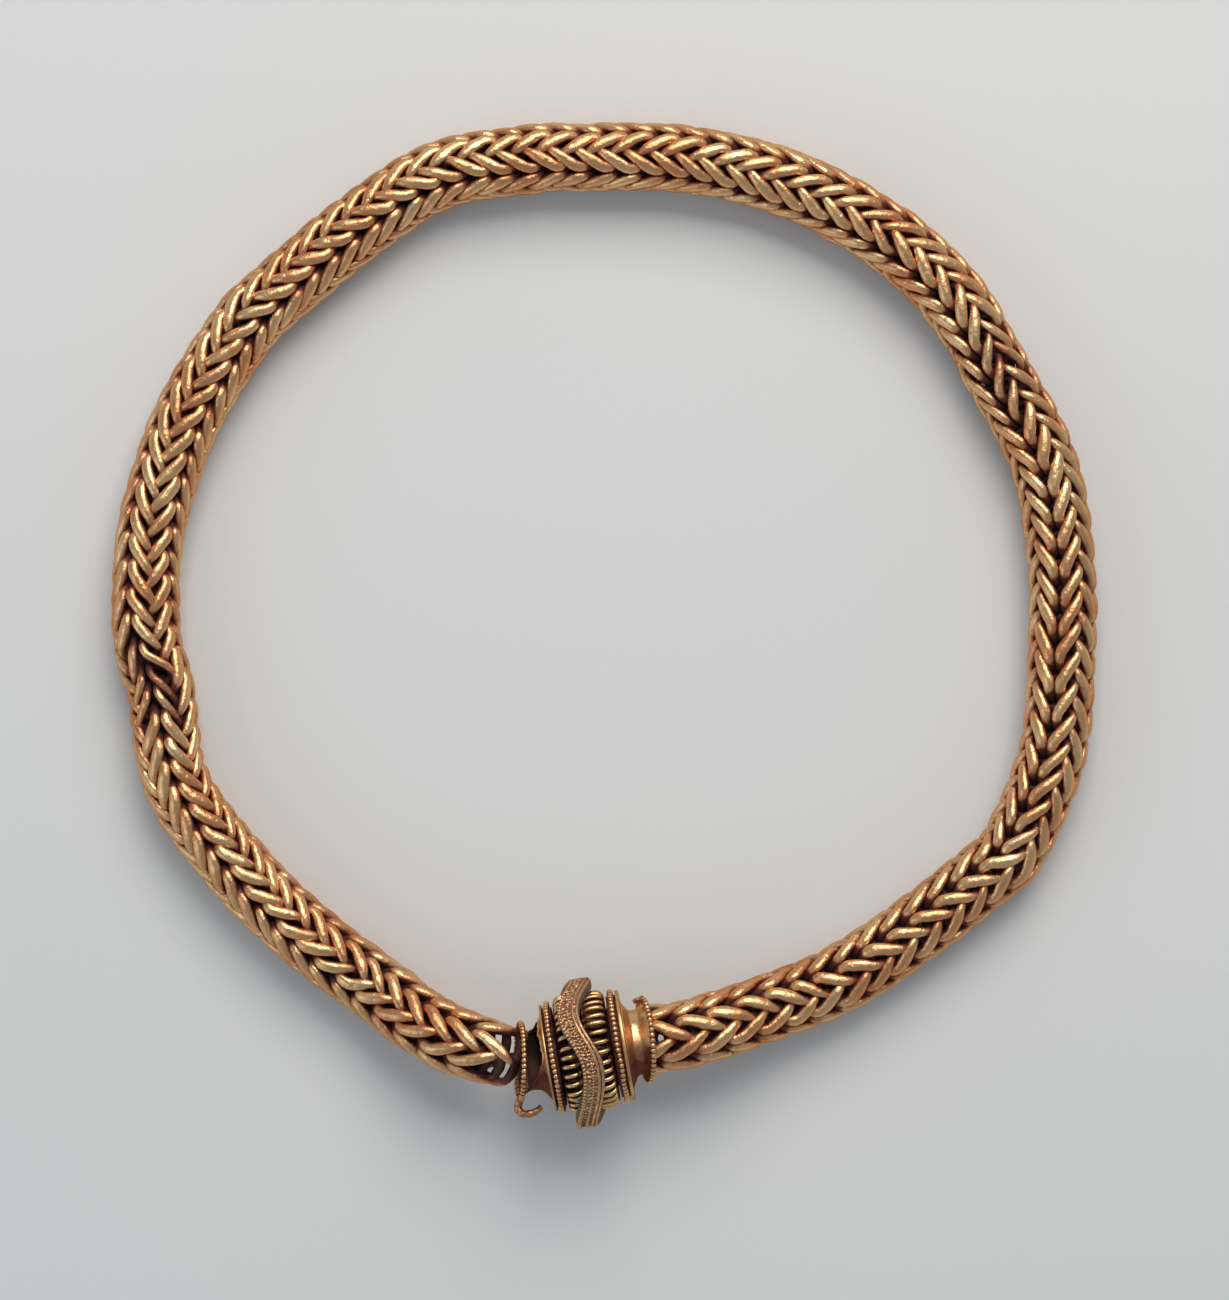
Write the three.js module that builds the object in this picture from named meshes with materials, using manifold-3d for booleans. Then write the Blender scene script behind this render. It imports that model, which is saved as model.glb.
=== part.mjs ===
// A gold necklace torc lying on its side: a heavy loop-in-loop chain, bent into a ring round the neck opening,
// whose ends sit in sheet collars on either side of a filigree ring clasp.
// Millimetres, +Z up. The plan is laid out round the middle of the neck opening, with +Y away from the clasp.

import * as THREE from 'three';
import { mergeVertices } from 'three/addons/utils/BufferGeometryUtils.js';
import Module from 'manifold-3d';

const wasm = await Module();
wasm.setup();

// Driving dimensions, in millimetres and degrees.

const CHAIN_RADIUS = 5.75; // middle of the chain to the crest of its wires
const CHAIN_REST = 5.55; // height of the chain's middle where it lies on its worn underside
const COLUMNS = 4; // ribs of links round the chain
const COLUMN_ARMS = 24; // each rib's two wires stand this far either side of its middle
const LOW_CREST = 0.92; // a wire between two crests, as a part of the chain's radius
const HIGH_HOLE = 0.92;
const LOW_HOLE = 0.82;

// The chain's course, from the right collar round to the left one: place round the neck opening in degrees,
// distance from its middle, and how far the first rib has turned from straight up towards the outside.
const COURSE = [
  [-84.2, 68.5, 53],
  [-79, 68.7, 53],
  [-70, 68.7, 54],
  [-58, 70.5, 62],
  [-46, 72.1, 64],
  [-34, 75.5, 66],
  [-28, 77.6, 69],
  [-16, 77.7, 74],
  [-4, 76.4, 78],
  [8, 76.9, 84],
  [20, 78.1, 78],
  [32, 77.8, 66],
  [44, 79.7, 68],
  [56, 79.9, 56],
  [68, 79.5, 41],
  [80, 78.6, 50],
  [92, 77.8, 56],
  [98, 78.3, 59],
  [110, 79.5, 69],
  [122, 77.6, 74],
  [134, 77.1, 71],
  [140, 77.6, 68],
  [150, 77.2, 62],
  [158, 77.0, 58],
  [170, 76.7, 43],
  [182, 75.8, 27],
  [188, 74.3, 12],
  [200, 75.5, 3],
  [212, 73.2, 15],
  [224, 71.5, 30],
  [236, 70.9, 43],
  [248, 72.5, 48],
  [259.3, 73.0, 49],
];

// Length of one link along the chain, at distances from the right collar: worn and stretched unevenly.
const LINK_PITCH = [
  [0, 4.85],
  [102, 4.85],
  [125, 4.6],
  [210, 4.2],
  [285, 4.3],
  [358, 4.3],
  [372, 4.05],
  [412, 4.05],
  [420, 4.6],
];

const RISE_START = 3; // the chain leaves each collar level for this length
const RISE_LENGTH = 28; // and then comes down to the table over this length
const LEFT_END_WIDTH = 0.92; // the last links at the left collar are drawn in
const DRAWN_IN_LENGTH = 14;

const CLASP_CENTRE = [-3.1, -70.2];
const CLASP_HEIGHT = 12.3; // the serpentine band stands on the table
const CLASP_TURN = 9.6; // from +X towards +Y

const SLEEVE_BORE = 5.0;
const SLEEVE_RADIUS = 6.4;
const LEFT_LIP = { from: -6.1, to: -5.75, radius: 8.9 };
const RIGHT_LIP = { from: 6.55, to: 7.1, radius: 9.2 };
const LEFT_BORDER = { along: -4.93, radius: 8.75 }; // the middle of each beaded wire
const RIGHT_BORDER = { along: 5.75, radius: 8.95 };
const BEAD_RADIUS = 0.5;
const GAP = 0.3; // between pieces that touch
const WEB_WIDTH = 0.5; // the plain ridge between the two coils
const COIL_TOP = 9.9;
const COIL_TURNS = 36;
const COIL_RIB = 0.22; // a turn stands this far above the hollow beside it

const BAND_WIDTH = 3.5;
const BAND_TOP = 12.4;
const BAND_SWING = 1.3;
const BAND_CREST_RADIUS = 11.6; // where the band's rounded edges begin
// Where the band turns back, round the clasp from the top towards the neck; the first turn is to the left.
const BAND_TURNS = [-75, -8, 38, 88, 145, 205];

// A terminal is a spool-shaped collar of sheet with a beaded wire round its mouth. Angles follow the chain.
const SHEET = 0.5;
const RIGHT_MOUTH = { along: 10.3, across: 0.36, radius: 6.75, yaw: -5.2, dip: 9.7 };
const LEFT_MOUTH = { along: -10.6, across: 0.2, radius: 6.2, yaw: -10.4, dip: 7.9 };
const SPOOL = [0.98, 0.81, 0.81, 0.93]; // outer radius from the clasp to the mouth, over the mouth's
const SPOOL_FOOT = 7.4; // outer radius where the spool meets the clasp

// The left collar is torn: how far its sheet still reaches towards the mouth, round from the top.
const TEAR = [
  [-180, 1],
  [-80, 1],
  [-60, 0.82],
  [-44, 0.6],
  [-37, 0.66],
  [-20, 0.36],
  [-8, 0.3],
  [2, 0.14],
  [28, 0.12],
  [46, 0.2],
  [74, 0.12],
  [104, 0.3],
  [118, 0.66],
  [140, 0.9],
  [160, 1],
  [180, 1],
];

// The left mouth's wire has come away and ends in a hook: along, across and up from the clasp's middle.
const LEFT_WIRE_START = -112; // round the mouth, from the top towards the neck
const LEFT_WIRE_SWEEP = -330;
const HOOK = [
  [-12.2, -7.2, 0.5],
  [-11.5, -8.3, 0.9],
  [-9.7, -8.3, 1.1],
  [-8.3, -7.7, 1.0],
];

const radians = THREE.MathUtils.degToRad;

// Reads a table of [place, value] rows at a place, straight between rows.
function read(table, place) {
  const last = table.findIndex((row) => row[0] > place);
  if (last < 0) return table.at(-1)[1];
  if (last === 0) return table[0][1];
  const [low, high] = [table[last - 1], table[last]];
  return THREE.MathUtils.mapLinear(place, low[0], high[0], low[1], high[1]);
}

// One closed body from loops of points that follow each other. It is capped unless the last loop meets the first.
function loft(loops, meets) {
  const sides = loops[0].length;
  const points = loops.flat();
  const faces = [];
  const strips = meets ? loops.length : loops.length - 1;
  for (let k = 0; k < strips; k += 1) {
    const next = (k + 1) % loops.length;
    for (let i = 0; i < sides; i += 1) {
      const j = (i + 1) % sides;
      const [a, b, c, d] = [k * sides + i, k * sides + j, next * sides + j, next * sides + i];
      faces.push(a, b, c, a, c, d);
    }
  }
  if (!meets) {
    const end = (loops.length - 1) * sides;
    for (let i = 1; i < sides - 1; i += 1) {
      faces.push(0, i + 1, i, end, end + i, end + i + 1);
    }
  }
  const geometry = new THREE.BufferGeometry();
  geometry.setFromPoints(points);
  geometry.setIndex(faces);
  return outward(geometry);
}

// Turns the faces of a closed body outwards if they point in.
function outward(geometry) {
  const place = geometry.attributes.position;
  const face = geometry.index.array;
  const [a, b, c] = [new THREE.Vector3(), new THREE.Vector3(), new THREE.Vector3()];
  let volume = 0;
  for (let i = 0; i < face.length; i += 3) {
    a.fromBufferAttribute(place, face[i]);
    b.fromBufferAttribute(place, face[i + 1]);
    c.fromBufferAttribute(place, face[i + 2]);
    volume += a.dot(b.cross(c));
  }
  if (volume < 0) geometry.setIndex(Array.from(face).reverse());
  return geometry;
}

// A ring round the clasp's own axis, its section given as [along, radius] pairs for each angle.
function ringRound(steps, sectionAt) {
  const loops = [];
  for (let k = 0; k < steps; k += 1) {
    const angle = (360 * k) / steps;
    const section = sectionAt(angle, k);
    loops.push(section.map(([along, radius]) => roundPoint(along, radius, angle)));
  }
  return loft(loops, true);
}

// A point beside the clasp's axis; the angle is from the top towards the neck.
function roundPoint(along, radius, angle) {
  const turn = radians(angle);
  return new THREE.Vector3(along, radius * Math.sin(turn), radius * Math.cos(turn));
}

function roundSection(along, middle, halfWidth, halfHeight, sides) {
  const section = [];
  for (let i = 0; i < sides; i += 1) {
    const turn = (2 * Math.PI * (i + 0.5)) / sides;
    section.push([along + halfWidth * Math.cos(turn), middle + halfHeight * Math.sin(turn)]);
  }
  return section;
}

// Everything under the table top is worn away: a flat spot where a piece stands.
function wornFlat(geometry, tableHeight) {
  const table = new THREE.BoxGeometry(400, 400, 20);
  table.translate(0, 0, tableHeight - 10);
  const left = solid(geometry).subtract(solid(table)).getMesh();
  const cut = new THREE.BufferGeometry();
  cut.setAttribute('position', new THREE.BufferAttribute(left.vertProperties, 3));
  cut.setIndex(new THREE.BufferAttribute(left.triVerts, 1));
  return cut;
}

function solid(geometry) {
  const bare = geometry.clone();
  bare.deleteAttribute('normal');
  bare.deleteAttribute('uv');
  const merged = mergeVertices(bare, 1e-5);
  return new wasm.Manifold(
    new wasm.Mesh({
      numProp: 3,
      vertProperties: Float32Array.from(merged.attributes.position.array),
      triVerts: Uint32Array.from(merged.index.array),
    }),
  );
}

// The chain's course as a function of the distance from the right collar.

const COURSE_SAMPLES = 3000;

function measureCourse() {
  const knots = COURSE.map(([around, out, twist]) => {
    const turn = radians(around);
    return new THREE.Vector3(out * Math.cos(turn), out * Math.sin(turn), twist);
  });
  const spline = new THREE.CatmullRomCurve3(knots, false, 'catmullrom', 0.5);
  const samples = spline.getPoints(COURSE_SAMPLES);
  const xs = [];
  const ys = [];
  const twists = [];
  let along = 0;
  samples.forEach((point, i) => {
    const before = samples[Math.max(i - 1, 0)];
    along += Math.hypot(point.x - before.x, point.y - before.y);
    xs.push([along, point.x]);
    ys.push([along, point.y]);
    twists.push([along, point.z]);
  });
  return { xs, ys, twists, length: along };
}

const course = measureCourse();

function chainHeight(along) {
  const fromEnd = Math.min(along, course.length - along);
  const down = THREE.MathUtils.smoothstep(fromEnd, RISE_START, RISE_START + RISE_LENGTH);
  return THREE.MathUtils.lerp(CLASP_HEIGHT, CHAIN_REST, down);
}

function chainMiddle(along) {
  return new THREE.Vector3(read(course.xs, along), read(course.ys, along), chainHeight(along));
}

// One cross-section of the chain: each rib has a hollow between two wires, and neighbouring ribs take turns.
function chainSection(along, step) {
  const reach = 0.2;
  const forward = chainMiddle(along + reach).sub(chainMiddle(along - reach)).normalize();
  const up = new THREE.Vector3(0, 0, 1).addScaledVector(forward, -forward.z).normalize();
  const outside = forward.clone().cross(up);
  const middle = chainMiddle(along);
  const drawnIn = THREE.MathUtils.smoothstep(course.length - along, 0, DRAWN_IN_LENGTH);
  const size = CHAIN_RADIUS * THREE.MathUtils.lerp(LEFT_END_WIDTH, 1, drawnIn);
  const twist = read(course.twists, along);
  const loop = [];
  for (let column = 0; column < COLUMNS; column += 1) {
    const crest = (column + step) % 2 === 0;
    const rib = twist + (360 * column) / COLUMNS;
    const wire = crest ? 1 : LOW_CREST;
    const hole = crest ? HIGH_HOLE : LOW_HOLE;
    for (const [off, part] of [[-COLUMN_ARMS, wire], [0, hole], [COLUMN_ARMS, wire]]) {
      const turn = radians(rib + off);
      const point = middle.clone();
      point.addScaledVector(up, size * part * Math.cos(turn));
      point.addScaledVector(outside, size * part * Math.sin(turn));
      loop.push(point);
    }
  }
  return loop;
}

function chain() {
  const loops = [];
  let step = 0;
  for (let along = 0; along < course.length; along += read(LINK_PITCH, along) / 2) {
    loops.push(chainSection(along, step));
    step += 1;
  }
  return wornFlat(loft(loops, false), 0);
}

// The clasp: a flanged sleeve that carries two coils of fine wire, two beaded borders and the serpentine band.

const leftCoilFrom = LEFT_BORDER.along + BEAD_RADIUS + 2 * GAP;
const leftCoilTo = -WEB_WIDTH / 2 - GAP;
const rightCoilFrom = WEB_WIDTH / 2 + GAP;
const rightCoilTo = RIGHT_BORDER.along - BEAD_RADIUS - 2 * GAP;

function sleeve() {
  const underLeft = LEFT_BORDER.radius - BEAD_RADIUS - GAP;
  const underRight = RIGHT_BORDER.radius - BEAD_RADIUS - GAP;
  const profile = [
    [LEFT_LIP.from, SLEEVE_BORE],
    [LEFT_LIP.from, LEFT_LIP.radius],
    [LEFT_LIP.to, LEFT_LIP.radius],
    [LEFT_LIP.to, underLeft],
    [leftCoilFrom - GAP, underLeft],
    [leftCoilFrom - GAP, SLEEVE_RADIUS],
    [-WEB_WIDTH / 2, SLEEVE_RADIUS],
    [-WEB_WIDTH / 2, COIL_TOP],
    [WEB_WIDTH / 2, COIL_TOP],
    [WEB_WIDTH / 2, SLEEVE_RADIUS],
    [rightCoilTo + GAP, SLEEVE_RADIUS],
    [rightCoilTo + GAP, underRight],
    [RIGHT_LIP.from, underRight],
    [RIGHT_LIP.from, RIGHT_LIP.radius],
    [RIGHT_LIP.to, RIGHT_LIP.radius],
    [RIGHT_LIP.to, SLEEVE_BORE],
  ];
  return ringRound(20, () => profile);
}

function border({ along, radius }) {
  return ringRound(20, () => roundSection(along, radius, BEAD_RADIUS, BEAD_RADIUS, 5));
}

function coil(from, to) {
  const low = SLEEVE_RADIUS + GAP;
  const half = (COIL_TOP - low) / 2;
  return ringRound(2 * COIL_TURNS, (angle, k) => {
    const inset = k % 2 ? COIL_RIB : 0;
    return roundSection((from + to) / 2, low + half, (to - from) / 2, half - inset, 5);
  });
}

// The band swings left and right between the places where it turns back.
function bandMiddle(angle) {
  const first = BAND_TURNS[0];
  const place = THREE.MathUtils.euclideanModulo(angle - first, 360) + first;
  const turns = [...BAND_TURNS, first + 360];
  const next = turns.findIndex((turn) => turn > place);
  const part = (place - turns[next - 1]) / (turns[next] - turns[next - 1]);
  const side = next % 2 ? -1 : 1;
  return side * BAND_SWING * Math.cos(Math.PI * part);
}

function band() {
  const foot = COIL_TOP + GAP;
  const half = BAND_WIDTH / 2;
  const geometry = ringRound(40, (angle) => {
    const middle = bandMiddle(angle);
    return [
      [middle - half, foot],
      [middle - half, BAND_CREST_RADIUS],
      [middle - half * 0.5, BAND_TOP],
      [middle + half * 0.5, BAND_TOP],
      [middle + half, BAND_CREST_RADIUS],
      [middle + half, foot],
    ];
  });
  return wornFlat(geometry, -CLASP_HEIGHT);
}

// The collars run from the clasp's flange to the mouth, whose plane is turned and dips with the chain.

function mouthTurn({ yaw, dip }, part) {
  return new THREE.Euler(0, radians(dip * part), radians(yaw * part), 'ZYX');
}

function collarPoint(mouth, footAlong, part, inset, angle) {
  const ease = part * part;
  const middle = new THREE.Vector3(
    THREE.MathUtils.lerp(footAlong, mouth.along, part),
    mouth.across * ease,
    0,
  );
  const spool = part * (SPOOL.length - 1);
  const low = Math.min(Math.floor(spool), SPOOL.length - 2);
  let radius = THREE.MathUtils.lerp(SPOOL[low], SPOOL[low + 1], spool - low) * mouth.radius;
  radius += (SPOOL_FOOT - SPOOL[0] * mouth.radius) * (1 - part) ** 4;
  const point = roundPoint(0, radius - inset, angle);
  return point.applyEuler(mouthTurn(mouth, ease)).add(middle);
}

function collar(mouth, footAlong, reachAt) {
  const clear = 1 - (BEAD_RADIUS + GAP) / Math.abs(mouth.along - footAlong);
  const stations = SPOOL.length;
  const loops = [];
  const steps = 24;
  for (let k = 0; k < steps; k += 1) {
    const angle = (360 * k) / steps;
    const reach = clear * reachAt(angle);
    const outer = [];
    const inner = [];
    for (let i = 0; i < stations; i += 1) {
      const part = (reach * i) / (stations - 1);
      outer.push(collarPoint(mouth, footAlong, part, 0, angle));
      inner.unshift(collarPoint(mouth, footAlong, part, SHEET, angle));
    }
    loops.push([...outer, ...inner]);
  }
  return loft(loops, true);
}

function tornReach(angle) {
  return read(TEAR, angle > 180 ? angle - 360 : angle);
}

function mouthPoint(mouth, radius, angle) {
  const point = roundPoint(0, radius, angle).applyEuler(mouthTurn(mouth, 1));
  return point.add(new THREE.Vector3(mouth.along, mouth.across, 0));
}

// A wire of six sides along a list of points, closed into a ring if it meets.
function wire(points, radius, meets) {
  const count = points.length;
  const loops = points.map((point, k) => {
    const before = points[meets ? (k + count - 1) % count : Math.max(k - 1, 0)];
    const after = points[meets ? (k + 1) % count : Math.min(k + 1, count - 1)];
    const forward = after.clone().sub(before).normalize();
    const side = new THREE.Vector3(1, 0, 0.35).cross(forward).normalize();
    const third = forward.clone().cross(side);
    const loop = [];
    for (let i = 0; i < 6; i += 1) {
      const turn = (Math.PI * i) / 3;
      const corner = point.clone();
      corner.addScaledVector(side, radius * Math.cos(turn));
      corner.addScaledVector(third, radius * Math.sin(turn));
      loop.push(corner);
    }
    return loop;
  });
  return loft(loops, meets);
}

function rightRim() {
  const points = [];
  for (let angle = 0; angle < 360; angle += 18) {
    points.push(mouthPoint(RIGHT_MOUTH, RIGHT_MOUTH.radius, angle));
  }
  return wire(points, BEAD_RADIUS, true);
}

function leftRim() {
  const points = [];
  for (let part = 0; part <= 1.001; part += 1 / 22) {
    const angle = LEFT_WIRE_START + LEFT_WIRE_SWEEP * part;
    points.push(mouthPoint(LEFT_MOUTH, LEFT_MOUTH.radius, angle));
  }
  HOOK.forEach((point) => points.push(new THREE.Vector3(...point)));
  return wire(points, BEAD_RADIUS, false);
}

// The assembly.

function gold(name, geometry, color, roughness) {
  const material = new THREE.MeshStandardMaterial({ color, roughness, metalness: 1 });
  const mesh = new THREE.Mesh(geometry, material);
  mesh.name = name;
  return mesh;
}

const torc = new THREE.Group();
torc.add(gold('gold_chain', chain(), 0xd9a75a, 0.4));

const clasp = new THREE.Group();
clasp.position.set(...CLASP_CENTRE, CLASP_HEIGHT);
clasp.rotation.z = radians(CLASP_TURN);
torc.add(clasp);

clasp.add(gold('clasp_sleeve', sleeve(), 0xa9793c, 0.55));
clasp.add(gold('clasp_border_left', border(LEFT_BORDER), 0xe6bb70, 0.35));
clasp.add(gold('clasp_border_right', border(RIGHT_BORDER), 0xe6bb70, 0.35));
clasp.add(gold('clasp_coil_left', coil(leftCoilFrom, leftCoilTo), 0xdcaa5e, 0.35));
clasp.add(gold('clasp_coil_right', coil(rightCoilFrom, rightCoilTo), 0xdcaa5e, 0.35));
clasp.add(gold('clasp_serpentine_band', band(), 0xc9975a, 0.5));

const rightCollar = collar(RIGHT_MOUTH, RIGHT_LIP.to + GAP, () => 1);
const leftCollar = collar(LEFT_MOUTH, LEFT_LIP.from - GAP, tornReach);
clasp.add(gold('terminal_collar_right', rightCollar, 0xe8c27a, 0.4));
clasp.add(gold('terminal_rim_right', rightRim(), 0xe6bb70, 0.35));
clasp.add(gold('terminal_collar_left', leftCollar, 0xd8a765, 0.45));
clasp.add(gold('terminal_rim_left', leftRim(), 0xe0b068, 0.4));

// The origin is the middle of the whole torc's box, on the table.
torc.updateMatrixWorld(true);
const box = new THREE.Box3().setFromObject(torc, true);
const middle = box.getCenter(new THREE.Vector3());
torc.position.set(-middle.x, -middle.y, -box.min.z);

export default torc;
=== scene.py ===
# %% [markdown]
# # A gold necklace torc
#
# This lesson dresses a construction model of a gold torc: a heavy loop-in-loop chain, bent into a ring, whose
# ends sit in sheet collars on either side of a filigree ring clasp. The construction model gives the real
# sizes and places. Here every link of the chain and every bead of the clasp is shaped, and each piece of the
# clasp becomes one mesh.

# %% Load the construction model
import math

import bpy
import numpy as np
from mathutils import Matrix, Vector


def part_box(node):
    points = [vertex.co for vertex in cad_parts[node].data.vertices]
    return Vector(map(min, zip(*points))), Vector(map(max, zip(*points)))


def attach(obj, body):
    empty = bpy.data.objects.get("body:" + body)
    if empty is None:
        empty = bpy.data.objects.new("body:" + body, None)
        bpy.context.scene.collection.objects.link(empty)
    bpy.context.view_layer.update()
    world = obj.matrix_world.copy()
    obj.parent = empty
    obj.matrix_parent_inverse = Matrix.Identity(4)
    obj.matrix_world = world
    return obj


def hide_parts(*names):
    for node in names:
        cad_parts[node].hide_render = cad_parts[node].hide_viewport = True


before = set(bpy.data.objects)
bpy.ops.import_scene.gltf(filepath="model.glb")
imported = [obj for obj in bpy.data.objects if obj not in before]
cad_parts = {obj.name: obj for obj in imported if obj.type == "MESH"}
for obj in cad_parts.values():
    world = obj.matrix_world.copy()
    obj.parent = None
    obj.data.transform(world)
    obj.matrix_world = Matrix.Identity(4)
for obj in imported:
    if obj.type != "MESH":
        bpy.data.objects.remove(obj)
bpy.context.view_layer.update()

MM = 0.001
BODY = "root"
print("nodes:", ", ".join(sorted(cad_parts)))

# %% [markdown]
# ## Where things are
#
# The maker's plan is laid out round the middle of the neck opening, in millimetres. The model's origin is the
# middle of its box, so the two differ by a small shift. The clasp's two beaded borders are rings, and the
# middle of a ring's box is the middle of the ring, so they show where the clasp really is.

# %% The clasp's place and the shift of the plan
CLASP_PLAN = np.array([-3.1, -70.2])
CLASP_TURN = math.radians(9.6)
BORDER_LEFT = -4.93
BORDER_RIGHT = 5.75
CLASP_FORWARD = np.array([math.cos(CLASP_TURN), math.sin(CLASP_TURN), 0.0])
CLASP_NECKWARD = np.array([-math.sin(CLASP_TURN), math.cos(CLASP_TURN), 0.0])


def box_middle(node):
    return np.array(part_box(node)).mean(axis=0) / MM


clasp_middle = (
    box_middle("clasp_border_left") - BORDER_LEFT * CLASP_FORWARD
    + box_middle("clasp_border_right") - BORDER_RIGHT * CLASP_FORWARD
) / 2
plan_shift = clasp_middle[:2] - CLASP_PLAN
print("clasp's middle in mm:", clasp_middle.round(2), "shift of the plan:", plan_shift.round(2))


# %% [markdown]
# ## Small helpers
#
# A mesh here is two arrays: points in millimetres and faces of four corners. Building them with numpy and
# handing them over whole is far quicker than adding links one by one. `tube` is the workhorse: it lays rings
# of points round a path, because nearly everything on this torc is wire.

# %% Meshes from arrays
DRAWN_IN = 0.02  # how wide the closed end of an open wire is, as part of its thickness


def add_mesh(name, points, faces, attributes=(), uv=None):
    """A smooth mesh object from points in millimetres. attributes are (name, value per point) pairs."""
    mesh = bpy.data.meshes.new(name)
    mesh.from_pydata((np.asarray(points) * MM).tolist(), [], np.asarray(faces).tolist())
    mesh.shade_smooth()
    for label, values in attributes:
        layer = mesh.attributes.new(label, "FLOAT", "POINT")
        layer.data.foreach_set("value", np.asarray(values, np.float32))
    if uv is not None:
        mesh.uv_layers.new(name="OFBake").uv.foreach_set("vector", np.asarray(uv, np.float32).ravel())
    piece = bpy.data.objects.new(name, mesh)
    bpy.context.collection.objects.link(piece)
    return piece


def seat(piece, slot, material, *nodes):
    """Gives a piece its finish, hangs it on the body, and hides the construction nodes that it stands for."""
    piece.data.materials.append(material)
    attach(piece, BODY)
    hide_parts(*nodes)
    return piece


def unit(vectors):
    return vectors / np.maximum(np.linalg.norm(vectors, axis=-1, keepdims=True), 1e-9)


def grid_faces(rows, columns, rows_meet=True, columns_meet=True):
    """Faces of a grid of points, row by row, that may close on itself either way."""
    row = np.arange(rows if rows_meet else rows - 1)[:, None]
    column = np.arange(columns if columns_meet else columns - 1)[None, :]
    next_row = (row + 1) % rows
    next_column = (column + 1) % columns
    corners = (
        row * columns + column,
        row * columns + next_column,
        next_row * columns + next_column,
        next_row * columns + column,
    )
    return np.stack(np.broadcast_arrays(*corners), axis=-1).reshape(-1, 4)


def carried_frames(path, meets):
    """Two cross directions along a path that turn as little as they can, so that a tube doesn't twist."""
    ahead = np.roll(path, -1, axis=0) - np.roll(path, 1, axis=0)
    if not meets:
        ahead[0] = path[1] - path[0]
        ahead[-1] = path[-1] - path[-2]
    ahead = unit(ahead)
    side = np.empty_like(path)
    start = np.cross(ahead[0], [0.31, 0.23, 0.92])
    side[0] = start / np.linalg.norm(start)
    for k in range(1, len(path)):
        carried = side[k - 1] - ahead[k] * (side[k - 1] @ ahead[k])
        side[k] = carried / np.linalg.norm(carried)
    if meets:
        back = unit(side[-1] - ahead[0] * (side[-1] @ ahead[0]))
        lag = math.atan2(np.cross(back, side[0]) @ ahead[0], back @ side[0])
        turn = (lag * np.arange(len(path)) / len(path))[:, None]
        side = side * np.cos(turn) + np.cross(ahead, side) * np.sin(turn)
    return side, np.cross(ahead, side)


def tube(path, radius, sides=10, meets=True):
    """Points and faces of a wire along a path. radius is one number, or one for each step, or for each step
    and side. Open wires are closed by drawing their ends in."""
    path = np.asarray(path, float)
    radius = np.asarray(radius, float)
    radius = np.broadcast_to(radius if radius.ndim == 2 else radius.reshape(-1, 1), (len(path), sides))
    side, third = carried_frames(path, meets)
    if not meets:
        path, side, third = (np.vstack([line[0], line, line[-1]]) for line in (path, side, third))
        radius = np.vstack([radius[0] * DRAWN_IN, radius, radius[-1] * DRAWN_IN])
    turn = np.arange(sides) * 2 * np.pi / sides
    around_wire = np.cos(turn)[None, :, None] * side[:, None] + np.sin(turn)[None, :, None] * third[:, None]
    points = path[:, None] + around_wire * radius[:, :, None]
    return points.reshape(-1, 3), grid_faces(len(path), sides, rows_meet=meets)


def join(parts):
    """One list of points and one of faces from several."""
    points, faces, count = [], [], 0
    for part_points, part_faces in parts:
        points.append(part_points)
        faces.append(part_faces + count)
        count += len(part_points)
    return np.vstack(points), np.vstack(faces)


def smooth_step(value, low, high):
    part = np.clip((np.asarray(value, float) - low) / (high - low), 0, 1)
    return part * part * (3 - 2 * part)


# %% [markdown]
# ## Colours and a node helper
#
# Screen colours are written as hex, and Blender's sockets want linear light, so one function converts them.
# Another adds a node, sets its values and links its inputs, which keeps each material short enough to read.

# %% Colour and nodes
def linear(hex_colour):
    """An sRGB hex colour as the linear values that a socket takes."""
    channels = [int(hex_colour[i : i + 2], 16) / 255 for i in (1, 3, 5)]
    return [c / 12.92 if c <= 0.04045 else ((c + 0.055) / 1.055) ** 2.4 for c in channels] + [1.0]


def put(tree, kind, inputs=None, **settings):
    """Adds a node. inputs maps a socket's name or number to a value, or to an output to link from."""
    node = tree.nodes.new(kind)
    for name, value in settings.items():
        setattr(node, name, value)
    for socket, value in (inputs or {}).items():
        if isinstance(value, bpy.types.NodeSocket):
            tree.links.new(value, node.inputs[socket])
        else:
            node.inputs[socket].default_value = value
    return node


# %% [markdown]
# ## Camera, table and light
#
# The torc is looked at from straight above. A lens of moderate length at 0.6 m shows a little of the clasp's
# inner side. The table is plain and pale. A large, slightly warm lamp stands behind the torc, on the neck's
# far side, and a weaker cool one fills from the left, so shadows fall towards the clasp's outer side and are
# bluish. Metal shows mostly what is around it, so the room matters as much as the lamps: it is pale, cool and
# a little darker overhead.

# %% Camera
CAMERA_HEIGHT = 600.0
VIEW_HEIGHT = 218.1  # what the picture's height covers on the table
VIEW_MIDDLE = np.array([1.91, -4.16])  # on the plan
SENSOR = 36.0

camera_data = bpy.data.cameras.new("camera")
camera_data.sensor_fit = "VERTICAL"
camera_data.sensor_height = SENSOR
camera_data.lens = SENSOR * CAMERA_HEIGHT / VIEW_HEIGHT
camera_data.clip_start = 0.01
camera = bpy.data.objects.new("camera", camera_data)
camera.location = [*((VIEW_MIDDLE + plan_shift) * MM), CAMERA_HEIGHT * MM]
bpy.context.collection.objects.link(camera)
bpy.context.scene.camera = camera
print("lens in mm:", round(camera_data.lens, 1))


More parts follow.
